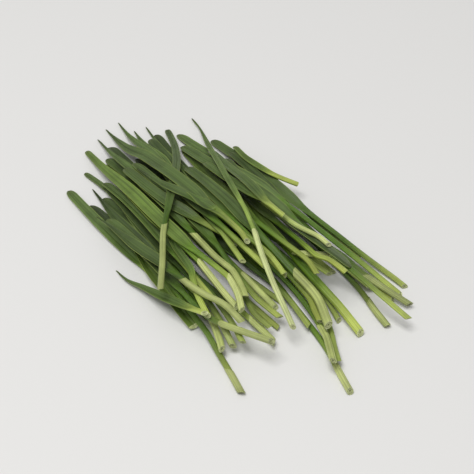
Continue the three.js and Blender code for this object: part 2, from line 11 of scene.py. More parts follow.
import bmesh
import bpy
import numpy as np
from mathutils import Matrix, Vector


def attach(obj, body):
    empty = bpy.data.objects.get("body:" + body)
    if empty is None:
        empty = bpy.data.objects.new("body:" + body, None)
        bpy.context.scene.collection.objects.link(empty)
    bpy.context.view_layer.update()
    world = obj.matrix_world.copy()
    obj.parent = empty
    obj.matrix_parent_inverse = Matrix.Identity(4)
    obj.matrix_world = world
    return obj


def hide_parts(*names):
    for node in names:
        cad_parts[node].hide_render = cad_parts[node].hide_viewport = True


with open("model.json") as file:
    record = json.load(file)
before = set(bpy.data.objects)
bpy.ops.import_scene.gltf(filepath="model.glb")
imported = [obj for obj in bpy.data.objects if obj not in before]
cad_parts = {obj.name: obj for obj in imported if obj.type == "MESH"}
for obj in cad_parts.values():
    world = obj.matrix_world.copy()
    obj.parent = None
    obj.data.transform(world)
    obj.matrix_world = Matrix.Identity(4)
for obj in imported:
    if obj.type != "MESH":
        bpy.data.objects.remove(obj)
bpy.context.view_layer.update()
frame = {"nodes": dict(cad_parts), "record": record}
MM = 0.001
print(len(frame["nodes"]), "shoots in the model")

# %% [markdown]
# ## The camera
# The heap is seen from above one side, with the blades to the upper left. A long lens from half a metre
# away keeps near and far shoots almost the same size, as in a photograph of food. The camera is placed by
# an angle round the heap, an angle above the table and a distance, which are easier to judge than
# coordinates.

# %% The camera
AIM = Vector((1.97, 8.45, 0)) * MM
CAMERA_AZIMUTH = 50
CAMERA_ELEVATION = 45
CAMERA_DISTANCE = 475 * MM
LENS = 85


def direction(azimuth, elevation):
    """The unit vector from the heap towards something seen at these angles, in degrees."""
    turn, rise = math.radians(azimuth), math.radians(elevation)
    return Vector((math.sin(turn) * math.cos(rise), -math.cos(turn) * math.cos(rise), math.sin(rise)))


def look_from(thing, place, target):
    thing.location = place
    thing.rotation_euler = (place - target).to_track_quat("Z", "Y").to_euler()
    bpy.context.scene.collection.objects.link(thing)


camera = bpy.data.objects.new("camera", bpy.data.cameras.new("camera"))
camera.data.lens = LENS
look_from(camera, AIM + direction(CAMERA_AZIMUTH, CAMERA_ELEVATION) * CAMERA_DISTANCE, AIM)
bpy.context.scene.camera = camera
print("camera", [round(value, 3) for value in camera.location])

# %% [markdown]
# ## The light
# The grass was lit by a wide soft light. A bright even sky gives part of the light here, and fills the gaps
# between the shoots. One large panel, almost overhead, gives the rest. It draws a bright line along the
# stems and puts a soft shadow straight below every end that stands off the table.

# %% The light
SKY_STRENGTH = 0.38
PANEL_POWER = 16.5
PANEL_SIDE = 0.8
PANEL_DISTANCE = 1.5
PANEL_AZIMUTH = 0
PANEL_ELEVATION = 76

world = bpy.data.worlds.new("soft sky")
bpy.context.scene.world = world
world.use_nodes = True
world.node_tree.nodes["Background"].inputs["Color"].default_value = (1, 1, 1, 1)
world.node_tree.nodes["Background"].inputs["Strength"].default_value = SKY_STRENGTH

panel = bpy.data.objects.new("panel", bpy.data.lights.new("panel", "AREA"))
panel.data.energy = PANEL_POWER
panel.data.size = PANEL_SIDE
look_from(panel, direction(PANEL_AZIMUTH, PANEL_ELEVATION) * PANEL_DISTANCE, Vector((0, 0, 0)))
bpy.context.scene.view_settings.view_transform = "Standard"
print("one panel and an even sky")

# %% [markdown]
# ## Helpers for node trees
# Both the shapes and the finishes below are trees of nodes. Written out one by one, a sum with three terms
# takes many lines, so one helper makes a node and joins its inputs, and a second makes a Math node from
# plain words.


# %% Helpers for node trees
def add_node(tree, kind, inputs=None, **settings):
    """A new node. Each of its inputs is joined to another node's output, or set to a value."""
    node = tree.nodes.new(kind)
    for name, value in settings.items():
        setattr(node, name, value)
    for key, value in (inputs or {}).items():
        if isinstance(value, bpy.types.NodeSocket):
            tree.links.new(value, node.inputs[key])
        else:
            node.inputs[key].default_value = value
    return node


def maths(tree, operation, *values):
    """One sum on numbers, as the output of a Math node."""
    return add_node(tree, "ShaderNodeMath", dict(enumerate(values)), operation=operation).outputs[0]


def ramp(tree, value, low, high):
    """Goes smoothly from 0, where the value is low, to 1, where it is high."""
    inputs = {"Value": value, "From Min": low, "From Max": high}
    return add_node(tree, "ShaderNodeMapRange", inputs, interpolation_type="SMOOTHSTEP").outputs["Result"]


def blend(tree, share, zero, one):
    """The first number where the share is 0, and the second where it is 1."""
    return add_node(tree, "ShaderNodeMix", {"Factor": share, "A": zero, "B": one}).outputs["Result"]


def linear(red, green, blue):
    """A colour as the eye judges it on a screen, from 0 to 255, made into Blender's linear colour."""
    shares = [value / 255 for value in (red, green, blue)]
    return (*[s / 12.92 if s <= 0.04045 else ((s + 0.055) / 1.055) ** 2.4 for s in shares], 1)


# %% [markdown]
# ## The table
# The heap lies on a plain pale surface, far wider than the camera sees. It isn't part of the grass.

# %% The table
TABLE_SIDE = 6
TABLE_TONE = linear(225, 224, 222)
TABLE_DROP = 0.05 * MM


def table_finish():
    finish = bpy.data.materials.new("pale table")
    finish.use_nodes = True
    shader = finish.node_tree.nodes["Principled BSDF"]
    shader.inputs["Base Color"].default_value = TABLE_TONE
    shader.inputs["Roughness"].default_value = 0.6
    return finish


bpy.ops.mesh.primitive_plane_add(size=TABLE_SIDE, location=(0, 0, -TABLE_DROP))
table = bpy.context.object
table.name = "table"
table.data.materials.append(table_finish())
print("table", TABLE_SIDE, "m wide")

# %% [markdown]
# ## Reading a shoot back from the model
# In the model each shoot is a closed skin of a few rings: six points round, from a fan over the cut end to
# a fan at the tip. Those rings hold all that is needed: where the shoot runs, how wide it is, and how far
# its edges rise. They can be found with no list of numbers, by walking over the skin from an end, one edge
# at a time. All the points that are equally many steps away form one ring.

# %% Walking over the skin
RING = 6
STEM_RING = 8  # rings of a stem that forks
FLAT = 0.999  # two faces that are this much alike lie in one plane
STEEP = 0.6


def steps_from(start, most=None):
    """The points of a skin in layers: the start, all one edge away from it, all two edges away, and so on."""
    seen = {start}
    layers = [[start]]
    while layers[-1] and (most is None or len(layers) <= most):
        near = {edge.other_vert(point) for point in layers[-1] for edge in point.link_edges} - seen
        seen |= near
        layers.append(sorted(near, key=lambda point: point.index))
    return [layer for layer in layers if layer]


def is_end(point):
    """Only an end of a shoot has the same number of points one and two steps away."""
    sizes = [len(layer) for layer in steps_from(point, 2)]
    return sizes in ([1, RING, RING], [1, STEM_RING, STEM_RING])


def is_cut(point):
    """The middle of a cut end, where all the faces lie in one steep plane."""
    normals = [face.normal for face in point.link_faces]
    return abs(normals[0].z) < STEEP and all(normal.dot(normals[0]) > FLAT for normal in normals)


# %% The rings of each path
def rings_from(start, size):
    """Rings of one size in a row, from an end of the skin until they stop."""
    rings = []
    for layer in steps_from(start)[1:]:
        if len(layer) != size:
            break
        rings.append([np.array(point.co) for point in layer])
    return rings


def paths_of(skin):
    """Each blade's rings, from the cut end to its tip. A shoot that forks has two, the longer one first."""
    ends = [point for point in skin.verts if is_end(point)]
    cut = next(point for point in ends if is_cut(point))
    tips = [point for point in ends if point is not cut]
    blades = [rings_from(tip, RING)[::-1] + [[np.array(tip.co)]] for tip in tips]
    if len(tips) == 1:
        return blades
    stem = rings_from(cut, STEM_RING)
    blades.sort(key=len, reverse=True)
    return [stem + blades[0][1:], stem[-2:] + blades[1][1:]]


def welded(node):
    """The skin of a node with its loose faces joined. The node itself isn't touched."""
    skin = bmesh.new()
    skin.from_mesh(node.data)
    bmesh.ops.remove_doubles(skin, verts=skin.verts, dist=0.001 * MM)
    skin.verts.index_update()
    skin.normal_update()
    return skin


skins = {name: welded(node) for name, node in sorted(frame["nodes"].items())}
ring_paths = {name: paths_of(skin) for name, skin in skins.items()}
print(sum(len(paths) for paths in ring_paths.values()), "blades found")

# %% [markdown]
# ## Measuring a ring
# The two points furthest apart are the shoot's edges. The others lie above and below its middle. That gives
# the point underneath the middle, the way to the left edge, the way up, the thickness, and how far the
# edges stand above the middle. Up isn't quite vertical, because a blade may lean.

# %% Measuring a ring
WORLD_UP = np.array([0, 0, 1.0])


def unit(vector):
    return vector / np.linalg.norm(vector, axis=-1, keepdims=True)


def measure(points, forward):
    """What one ring says about the shoot there: base, side, up, height and lift."""
    points = np.array(points)
    gaps = np.linalg.norm(points[:, None] - points[None], axis=2)
    one, other = np.unravel_index(gaps.argmax(), gaps.shape)
    side = (points[one] - points[other]) / 2
    if side @ np.cross(WORLD_UP, forward) < 0:
        side = -side
    up = unit(np.cross(forward, side))
    others = np.delete(points, [one, other], axis=0)
    heights = others @ up
    low = others[heights < heights.mean()].mean(axis=0)
    high = others[heights > heights.mean()].mean(axis=0)
    lift = ((points[one] + points[other]) / 2 - low) @ up
    return {"base": low, "side": side, "up": up, "height": (high - low) @ up, "lift": lift}


# %% [markdown]
# ## From rings to smooth stations
# The model's rings are up to 10 mm apart, and straight between. A grass blade bends smoothly, so each
# measure is drawn as a smooth curve through the rings, and read again at every millimetre or two. The model
# widens the stem where an outer sheath wraps its foot. That widening is taken off first, and comes back
# later as a real sleeve.

# %% From rings to smooth stations
MODEL_BLADE = 0.75 * MM  # thickness of a blade in the model
LEAST_STEM = 1.6 * MM  # a foot less high than this is a blade that was cut across
SHEATH_SWELL = 1.16  # width of an outer sheath, as a share of the stem
MOUTH_GAP = 1 * MM  # two rings nearer than this make the step at a sheath's mouth
MOUTH_STEP = 1.1  # and the first is at least this much wider


def smoothed(values, at, fine):
    """A smooth curve through values known at some lengths, read at finer ones."""
    values = np.array(values, float).reshape(len(at), -1)
    slopes = np.gradient(values, at, axis=0)
    i = np.clip(np.searchsorted(at, fine, side="right") - 1, 0, len(at) - 2)
    span = (at[i + 1] - at[i])[:, None]
    t = (fine - at[i])[:, None] / span
    rise = values[i + 1] - values[i]
    bend = t * (1 - t) * ((1 - t) * (slopes[i] * span - rise) - t * (slopes[i + 1] * span - rise))
    return values[i] + t * rise + bend


def stations_of(rings):
    """A row of measures along one path, with the length at each and the length of its outer sheath."""
    centres = np.array([np.mean(ring, axis=0) for ring in rings])
    forwards = unit(np.gradient(centres, axis=0))
    rows = [measure(ring, forward) for ring, forward in zip(rings[:-1], forwards)]
    at = np.concatenate([[0], np.cumsum(np.linalg.norm(np.diff(centres, axis=0), axis=1))])
    widths = [np.linalg.norm(row["side"]) for row in rows]
    steps = [i for i in range(len(rows) - 1) if at[i + 1] - at[i] < MOUTH_GAP and widths[i] > widths[i + 1]]
    mouth = steps[0] if steps and widths[steps[0]] > MOUTH_STEP * widths[steps[0] + 1] else -1
    for row in rows[: mouth + 1]:
        shrink = 1 / SHEATH_SWELL
        row["base"] = row["base"] + row["up"] * row["height"] * (1 - shrink) / 2
        row["side"] = row["side"] * shrink
        row["height"] *= shrink
        row["lift"] *= shrink
    rows.append({**rows[-1], "base": rings[-1][0] - rows[-1]["up"] * rows[-1]["height"] / 2})
    kept = [i for i in range(len(rows)) if i != mouth + 1 or mouth < 0]
    return [rows[i] for i in kept], at[kept], at[mouth] if mouth >= 0 else 0


# %% [markdown]
# ## The tip
# Some blades end round, where the cut or the age of the leaf has left them blunt, and others run out to a
# fine point. A round tip is half an ellipse, which three rings can't show, so its width is worked out by
# the ellipse's own formula. A pointed tip only ends finer than the model's.

# %% The tip
BLUNT = 1 * MM  # a last ring wider than this belongs to a round tip
TIP_RING_SHARE = 0.917  # width of the ring before it, as a share of the blade
ROUND_LENGTH = 1.4  # length of a round tip, as a share of the blade's width
POINT_WIDTH = 0.5 * MM
POINT_END = 0.16 * MM


def end_widths(rows):
    """Half the width at each station, as if a round tip weren't rounded, and whether the tip is round."""
    widths = np.array([np.linalg.norm(row["side"]) for row in rows])
    is_round = 2 * widths[-2] >= BLUNT
    if is_round:
        widths[-3:] = widths[-3] / TIP_RING_SHARE
    else:
        widths[-2:] = POINT_WIDTH / 2, POINT_END / 2
    return widths, is_round


def rounding(rows, at, fine):
    """The share of its width that a blade has left at each of the finer lengths, because its tip is round."""
    widths, is_round = end_widths(rows)
    if not is_round:
        return np.ones(len(fine))
    share = np.clip((at[-1] - fine) / (2 * widths[-1] * ROUND_LENGTH), 0, 1)
    return np.sqrt(1 - (1 - share) ** 2)


def half_widths(rows, at, fine):
    """Half the width of a path at each of the finer lengths."""
    widths, _ = end_widths(rows)
    return smoothed(widths, at, fine)[:, 0] * rounding(rows, at, fine)


# %% [markdown]
# ## The cut end and the sheath's mouth
# A stem isn't solid. It is a leaf rolled up inside the sheath of another, so its cut end shows one ring
# inside another, with a hollow between. Rings that come closer to the middle and step in and out make that
# end from the same sweep as the stem. At the mouth of an outer sheath the skin turns back on itself: out
# along the sleeve, over its rim, a little way down inside, and up again along the stem.

# %% The cut end and the sheath's mouth
CUT_RINGS = [
    (0.0, 0.5),
    (0.3, 0.5),
    (0.36, 0.05),
    (0.56, 0.0),
    (0.62, 0.45),
    (0.72, 0.45),
    (0.78, 0.0),
    (0.97, 0.0),
    (1.0, 0.1),
]  # how far out from the middle, as a share of the stem, and how deep in millimetres
SHEATH_WALL = 0.11
SHEATH_GAP = 0.04
SHEATH_DEPTH = 1.6 * MM
FIRST_STEP = 0.5 * MM
STEP = 1.6 * MM
TIP_STEPS = 9
TIP_STRETCH = 5 * MM


def guide_rows(total, mouth, hidden):
    """One row for each ring to be made: length, size, depth, and whether it is sheath or cut face."""
    rows = []
    if not hidden:
        rows += [(0, size, deep * MM, mouth > 0, size < 1) for size, deep in CUT_RINGS]
    body = np.arange(FIRST_STEP, total - TIP_STRETCH, STEP)
    swell = SHEATH_SWELL if mouth else 1
    rows = [(at, size * swell, deep, sheath, cut) for at, size, deep, sheath, cut in rows]
    if mouth:
        rows += [(at, SHEATH_SWELL, 0, 1, 0) for at in body if at < mouth - FIRST_STEP]
        rows += [(mouth, SHEATH_SWELL, 0, 1, 0), (mouth, SHEATH_SWELL - SHEATH_WALL, 0, 1, 0)]
        rows += [(mouth - SHEATH_DEPTH, 1 + SHEATH_GAP, 0, 1, 0), (mouth - SHEATH_DEPTH, 1, 0, 0, 0)]
        body = [at for at in body if at > mouth - SHEATH_DEPTH + FIRST_STEP]
    rows += [(at, 1, 0, 0, 0) for at in body]
    bend = np.linspace(0, math.pi / 2, TIP_STEPS, endpoint=False)
    rows += [(total - TIP_STRETCH * (1 - math.sin(angle)), 1, 0, 0, 0) for angle in bend]
    rows.append((total, 0, 0, 0, 0))
    return np.array(rows, float)


# %% [markdown]
# ## A guide for each shoot
# Geometry Nodes will make the skin, and needs to know where. The guide is a plain chain of points, one for
# each ring, and every measure is an attribute on those points. A second blade's guide starts inside the
# stem, a size smaller, so that it comes out of the fold of the first as a young leaf does.

# %% A guide for each shoot
INNER_SIZE = 0.8
EMERGING = 12 * MM  # length over which a second blade reaches its full size
SKEW = 1.3 * MM  # how far a sheath's mouth runs from square
SKEW_REACH = 7 * MM
CUT_SKEW = 0.8 * MM  # and how far a cut end does
CUT_REACH = 5 * MM
draws = np.random.default_rng(11)


def path_shape(rows, at, fine):
    """The smooth middle line of a path, and the ways to its side, up and ahead, at the finer lengths."""
    base = [row["base"] for row in rows]
    side = smoothed([row["side"] for row in rows], at, fine)
    ahead = smoothed(base, at, np.clip(fine + MM, 0, at[-1]))
    behind = smoothed(base, at, np.clip(fine - MM, 0, at[-1]))
    return {
        "base": smoothed(base, at, fine),
        "side": unit(side) * half_widths(rows, at, fine)[:, None],
        "up": unit(smoothed([row["up"] for row in rows], at, fine)),
        "forward": unit(ahead - behind),
    }


def path_numbers(rows, at, mouth, table):
    """Every measure along a path that is one number, with one value for each ring to be made."""
    fine, size, depth, sheath, cut = table.T
    height = smoothed([row["height"] for row in rows], at, fine)[:, 0]
    stem = max(rows[0]["height"], LEAST_STEM)
    near_mouth = np.clip(1 - abs(fine - mouth) / SKEW_REACH, 0, 1) * (mouth > 0)
    near_cut = np.clip(1 - fine / CUT_REACH, 0, 1)
    return {
        "height": np.full(len(fine), stem),
        "lift": smoothed([row["lift"] for row in rows], at, fine)[:, 0] * rounding(rows, at, fine),
        "open": np.clip((stem - height) / (stem - MODEL_BLADE), 0, 1),
        "size": size,
        "depth": depth,
        "sheath": sheath,
        "cut": cut,
        "along": fine,
        "left": at[-1] - fine,
        "skew": np.maximum(SKEW * near_mouth, CUT_SKEW * near_cut),
    }


def main_path(rings):
    """The guide's columns for a shoot's own blade, from its cut end."""
    rows, at, mouth = stations_of(rings)
    table = guide_rows(at[-1], mouth, False)
    return {**path_shape(rows, at, table[:, 0]), **path_numbers(rows, at, mouth, table)}


def side_path(rings, main):
    """The guide's columns for a second blade, which starts small inside the stem."""
    rows, at, mouth = stations_of(rings)
    table = guide_rows(at[-1], mouth, True)
    columns = {**path_shape(rows, at, table[:, 0]), **path_numbers(rows, at, mouth, table)}
    emerged = np.clip(table[:, 0] / EMERGING, 0, 1)
    columns["size"] = columns["size"] * (INNER_SIZE + (1 - INNER_SIZE) * emerged)
    columns["size"][0] = 0
    nearest = np.linalg.norm(main["base"] - columns["base"][0], axis=1).argmin()
    columns["along"] = columns["along"] + main["along"][nearest]
    return columns


def make_guide(name, paths):
    """The guide of a whole shoot: one chain of points for each of its blades."""
    main = main_path(paths[0])
    parts = [main] + [side_path(rings, main) for rings in paths[1:]]
    counts = [len(part["along"]) for part in parts]
    starts = np.cumsum([0, *counts[:-1]])
    firsts = [int(start) + i for start, count in zip(starts, counts) for i in range(count - 1)]
    edges = [(first, first + 1) for first in firsts]
    columns = {key: np.concatenate([part[key] for part in parts]).astype(np.float32) for key in main}
    columns["tint"] = np.full(sum(counts), draws.uniform(-1, 1), np.float32)
    mesh = bpy.data.meshes.new(name + "_guide")
    mesh.from_pydata([tuple(point) for point in columns["base"]], edges, [])
    for key, values in columns.items():
        kind, field = ("FLOAT", "value") if values.ndim == 1 else ("FLOAT_VECTOR", "vector")
        mesh.attributes.new(key, kind, "POINT").data.foreach_set(field, values.ravel())
    return mesh


guides = {name: make_guide(name, paths) for name, paths in ring_paths.items()}
for skin in skins.values():
    skin.free()
print(sum(len(guide.vertices) for guide in guides.values()), "rings to make")

# %% [markdown]
# ## The tree that grows a shoot
# A ring can't simply be scaled along the shoot, because its form changes: an oval tube at the foot, a
# trough where the leaf unrolls, and a thin flat blade with a midrib further on. So the sweep is made in two
# steps. Curve to Mesh runs a circle along the guide, which only sets up rows of points and carries every
# attribute to them. Set Position then puts each point where the sums below say, from its place round the
# ring.

# %% Round the ring
TREE_INPUTS = [
    ("Points Around", "NodeSocketInt", 48),
    ("Blade Thickness", "NodeSocketFloat", 0.42 * MM),
    ("Edge Thickness", "NodeSocketFloat", 0.2 * MM),
    ("Midrib Height", "NodeSocketFloat", 0.16 * MM),
    ("Midrib Width", "NodeSocketFloat", 0.13),
    ("Rib Height", "NodeSocketFloat", 0.03 * MM),
    ("Ribs Across", "NodeSocketFloat", 7.0),
    ("Overlap", "NodeSocketFloat", 0.06),
    ("Ripple Height", "NodeSocketFloat", 0.12 * MM),
    ("Ripple Length", "NodeSocketFloat", 14 * MM),
    ("Seed", "NodeSocketInt", 5),
    ("Finish", "NodeSocketMaterial", None),
]
TURN = 2 * math.pi

grower = bpy.data.node_groups.new("grow a shoot", "GeometryNodeTree")
grower.interface.new_socket("Guide", in_out="INPUT", socket_type="NodeSocketGeometry")
identifiers = {}
for label, kind, start_value in TREE_INPUTS:
    socket = grower.interface.new_socket(label, in_out="INPUT", socket_type=kind)
    identifiers[label] = socket.identifier
    if start_value is not None:
        socket.default_value = start_value
grower.interface.new_socket("Shoot", in_out="OUTPUT", socket_type="NodeSocketGeometry")
given = grower.nodes.new("NodeGroupInput").outputs


def shape(kind, inputs=None, **settings):
    return add_node(grower, kind, inputs, **settings)


def calc(operation, *values):
    return maths(grower, operation, *values)


def measure_of(name, kind="FLOAT"):
    """An attribute of the guide, carried along to the skin."""
    return shape("GeometryNodeInputNamedAttribute", {"Name": name}, data_type=kind).outputs["Attribute"]


def store(geometry, name, value):
    inputs = {"Geometry": geometry, "Name": name, "Value": value}
    return shape("GeometryNodeStoreNamedAttribute", inputs, data_type="FLOAT", domain="POINT").outputs[0]


circle = shape("GeometryNodeCurvePrimitiveCircle", {"Resolution": given["Points Around"], "Radius": MM})
turn_share = calc("DIVIDE", shape("GeometryNodeInputIndex").outputs[0], given["Points Around"])
profile = store(circle.outputs["Curve"], "turn", turn_share)
rail = shape("GeometryNodeMeshToCurve", {"Mesh": given["Guide"]}).outputs["Curve"]
sweep = shape("GeometryNodeCurveToMesh", {"Curve": rail, "Profile Curve": profile}).outputs["Mesh"]
turn = calc("MULTIPLY", measure_of("turn"), TURN)
across = calc("COSINE", turn)
upwards = calc("SINE", turn)
away = calc("ABSOLUTE", across)
roundness = calc("ABSOLUTE", upwards)
print("tree inputs:", ", ".join(identifiers))

# %% [markdown]
# ## The section of a stem and of a blade
# The stem's section is an oval. The blade's underside is a shallow trough with a keel under the midrib, and
# its upper side follows at the blade's thickness, thinner towards the edges, with fine ribs and a groove
# over the midrib. Between the two the upper side opens first and sinks in, as a rolled leaf does when it
# unrolls.

# %% The section of a stem and of a blade
UNROLLED = 0.5  # how far open a leaf is when its upper side lies free
TROUGH = 1.2
EDGE_ROUNDING = 0.35

half_height = calc("DIVIDE", measure_of("height"), 2)
tube_low = calc("MULTIPLY", half_height, calc("SUBTRACT", 1, roundness))
tube_high = calc("MULTIPLY", half_height, calc("ADD", 1, roundness))
from_midrib = calc("DIVIDE", across, given["Midrib Width"])
at_midrib = calc("EXPONENT", calc("MULTIPLY", calc("MULTIPLY", from_midrib, from_midrib), -1))
keel = calc("MULTIPLY", given["Midrib Height"], calc("SUBTRACT", 1, at_midrib))
blade_low = calc("MULTIPLY_ADD", measure_of("lift"), calc("POWER", away, TROUGH), keel)
full = blend(grower, away, given["Blade Thickness"], given["Edge Thickness"])
thickness = calc("MULTIPLY", full, calc("POWER", roundness, EDGE_ROUNDING))
rib_turn = calc("MULTIPLY", calc("MULTIPLY", across, given["Ribs Across"]), TURN / 2)
ribs = calc("MULTIPLY", calc("MULTIPLY", calc("COSINE", rib_turn), given["Rib Height"]), roundness)
groove = calc("MULTIPLY", calc("MULTIPLY", given["Midrib Height"], -0.6), at_midrib)
relief = calc("ADD", ribs, groove)
low = blend(grower, measure_of("open"), tube_low, blade_low)
free_top = calc("ADD", calc("ADD", low, thickness), relief)
top_open = ramp(grower, measure_of("open"), 0, UNROLLED)
high = blend(grower, top_open, tube_high, free_top)
section_up = blend(grower, calc("GREATER_THAN", upwards, 0), low, high)
print("a section from tube to blade")

# %% [markdown]
# ## Small uneven things
# Nothing that grew is quite straight. The edges of a blade ripple a little, by a smooth noise along its
# length. The wrapped leaf of a stem ends in a long seam: the section is a very slight spiral, and it steps
# in where the wrapping starts. The mouth of an outer sheath is cut askew by pushing its points along the
# shoot.

# %% Small uneven things
SEAM_PLACE = 0.31  # round the ring, a little left of the top
APART = 40  # how far apart two shoots' noises may lie
SWING = 4  # a noise seldom reaches far from its middle, so it is stretched

noise_at = shape(
    "ShaderNodeCombineXYZ",
    {
        "X": calc("DIVIDE", measure_of("along"), given["Ripple Length"]),
        "Y": across,
        "Z": calc("MULTIPLY_ADD", measure_of("tint"), APART, given["Seed"]),
    },
)
noise = shape("ShaderNodeTexNoise", {"Vector": noise_at.outputs[0], "Scale": 1, "Detail": 1}).outputs[0]
swing = calc("MULTIPLY", calc("SUBTRACT", noise, 0.5), calc("MULTIPLY", given["Ripple Height"], SWING))
at_edges = calc("MULTIPLY", calc("MULTIPLY", away, away), measure_of("open"))
ripple = calc("MULTIPLY", calc("MULTIPLY", swing, at_edges), measure_of("size"))
spiral = calc("SUBTRACT", calc("FRACT", calc("SUBTRACT", measure_of("turn"), SEAM_PLACE)), 0.5)
rolled = calc("SUBTRACT", 1, top_open)
wrap = calc("MULTIPLY_ADD", calc("MULTIPLY", spiral, given["Overlap"]), rolled, 1)
grown = calc("MULTIPLY", wrap, measure_of("size"))
skew_turn = calc("MULTIPLY", measure_of("tint"), TURN)
slanted = calc("MULTIPLY", calc("COSINE", calc("SUBTRACT", turn, skew_turn)), measure_of("size"))
push = calc("MULTIPLY", measure_of("skew"), slanted)
ahead_by = calc("ADD", measure_of("depth"), push)

# %% Putting each point in its place
blade_middle = calc("DIVIDE", given["Blade Thickness"], 2)
middle_up = blend(grower, measure_of("open"), half_height, blade_middle)
grown_up = calc("MULTIPLY_ADD", calc("SUBTRACT", section_up, middle_up), grown, middle_up)
final_up = calc("ADD", grown_up, ripple)
final_side = calc("MULTIPLY", across, grown)


def stretch(name, length):
    """One of the guide's directions, times a length."""
    inputs = {0: measure_of(name, "FLOAT_VECTOR"), "Scale": length}
    return shape("ShaderNodeVectorMath", inputs, operation="SCALE").outputs[0]


def sum_of(first, second):
    return shape("ShaderNodeVectorMath", {0: first, 1: second}, operation="ADD").outputs[0]


lengthwise = stretch("forward", ahead_by)
crosswise = sum_of(stretch("side", final_side), stretch("up", final_up))
place = sum_of(sum_of(measure_of("base", "FLOAT_VECTOR"), lengthwise), crosswise)
parts = shape("ShaderNodeSeparateXYZ", {0: place}).outputs
above = calc("MAXIMUM", parts["Z"], 0)
position = shape("ShaderNodeCombineXYZ", {"X": parts["X"], "Y": parts["Y"], "Z": above}).outputs[0]
skin = shape("GeometryNodeSetPosition", {"Geometry": sweep, "Position": position}).outputs[0]
skin = store(skin, "across", across)
skin = shape("GeometryNodeMergeByDistance", {"Geometry": skin, "Distance": 0.002 * MM}).outputs[0]
skin = shape("GeometryNodeSetShadeSmooth", {"Geometry": skin}).outputs[0]
skin = shape("GeometryNodeRealizeInstances", {"Geometry": skin}).outputs[0]
skin = shape("GeometryNodeSetMaterial", {"Geometry": skin, "Material": given["Finish"]}).outputs[0]
add_node(grower, "NodeGroupOutput", {"Shoot": skin})
print(len(grower.nodes), "nodes in the tree")

# %% [markdown]
# ## The finishes
# All shoots are the same plant, so their finishes share their effects as node groups, each with its own
# values. The first group is the tone along a shoot: nearly white-green at the foot, where no light reached
# it, yellow green along the stem, full green in the blade, and a little dry at the very tip.


# %% Making a shader group
def new_group(name, inputs, outputs):
    """An empty shader node group with named inputs and outputs, and its input sockets."""
    group = bpy.data.node_groups.new(name, "ShaderNodeTree")
    for label, value in inputs.items():
        kind = "NodeSocketColor" if isinstance(value, tuple) else "NodeSocketFloat"
        group.interface.new_socket(label, in_out="INPUT", socket_type=kind).default_value = value
    for label, kind in outputs.items():
        group.interface.new_socket(label, in_out="OUTPUT", socket_type=kind)
    return group, group.nodes.new("NodeGroupInput").outputs


def grown_value(tree, name):
    """A measure that the shoot's skin carries, such as how far along it a point is."""
    return add_node(tree, "ShaderNodeAttribute", attribute_name=name).outputs["Fac"]


def tint(tree, share, zero, one, mode="MIX"):
    """Two colours mixed."""
    inputs = {"Factor": share, "A": zero, "B": one}
    for key in ("A", "B"):
        if not isinstance(inputs[key], bpy.types.NodeSocket):
            inputs[key] = (*inputs[key][:3], 1)
    node = tree.nodes.new("ShaderNodeMix")
    node.data_type = "RGBA"
    node.blend_type = mode
    for key, number in (("Factor", 0), ("A", 6), ("B", 7)):
        value = inputs[key]
        if isinstance(value, bpy.types.NodeSocket):
            tree.links.new(value, node.inputs[number])
        else:
            node.inputs[number].default_value = value
    return node.outputs[2]


# %% The tone along a shoot
FOOT_END = 34 * MM
DRY_END = 5 * MM

WHITE = (1, 1, 1, 1)
tone, asked = new_group(
    "tone along a shoot",
    {"Foot": WHITE, "Stem": WHITE, "Blade": WHITE, "Tip": WHITE, "Sheath": WHITE, "Cut Face": WHITE},
    {"Color": "NodeSocketColor"},
)
above_foot = ramp(tone, grown_value(tone, "along"), 0, FOOT_END)
color = tint(tone, above_foot, asked["Foot"], asked["Stem"])
color = tint(tone, ramp(tone, grown_value(tone, "open"), 0, 1), color, asked["Blade"])
near_tip = ramp(tone, grown_value(tone, "left"), DRY_END, 0)
color = tint(tone, maths(tone, "MULTIPLY", near_tip, grown_value(tone, "open")), color, asked["Tip"])
color = tint(tone, grown_value(tone, "sheath"), color, asked["Sheath"])
color = tint(tone, grown_value(tone, "cut"), color, asked["Cut Face"])
add_node(tone, "NodeGroupOutput", {"Color": color})
print("group:", tone.name)

# %% [markdown]
# ## Parallel veins
# The veins of a grass leaf run side by side from the stem to the tip. As a pattern they are stripes of the
# place across the blade. A noise that is stretched along the shoot makes them waver and fade, so that they
# don't look printed. The same stripes give the colour and, through a Bump node, the fine relief.

# %% Parallel veins
STREAKS_ACROSS = 6
STREAKS_APART = 30  # how far apart two shoots' streaks may lie

veins, asked = new_group(
    "parallel veins",
    {"Veins Across": 13.0, "Waver": 0.5, "Streak Length": 60 * MM},
    {"Stripe": "NodeSocketFloat", "Streak": "NodeSocketFloat"},
)
lengthways = maths(veins, "DIVIDE", grown_value(veins, "along"), asked["Streak Length"])
stretched = {"X": maths(veins, "MULTIPLY", grown_value(veins, "across"), STREAKS_ACROSS), "Y": lengthways}
stretched["Z"] = maths(veins, "MULTIPLY", grown_value(veins, "tint"), STREAKS_APART)
streak_at = add_node(veins, "ShaderNodeCombineXYZ", stretched).outputs[0]
streak = add_node(veins, "ShaderNodeTexNoise", {"Vector": streak_at, "Scale": 1, "Detail": 3}).outputs[0]
wavering = maths(veins, "MULTIPLY", maths(veins, "SUBTRACT", streak, 0.5), asked["Waver"])
vein_place = maths(veins, "MULTIPLY", grown_value(veins, "across"), asked["Veins Across"])
vein_turn = maths(veins, "MULTIPLY", maths(veins, "ADD", vein_place, wavering), math.pi)
stripe = maths(veins, "MULTIPLY_ADD", maths(veins, "COSINE", vein_turn), 0.5, 0.5)
add_node(veins, "NodeGroupOutput", {"Stripe": stripe, "Streak": streak})
print("group:", veins.name)
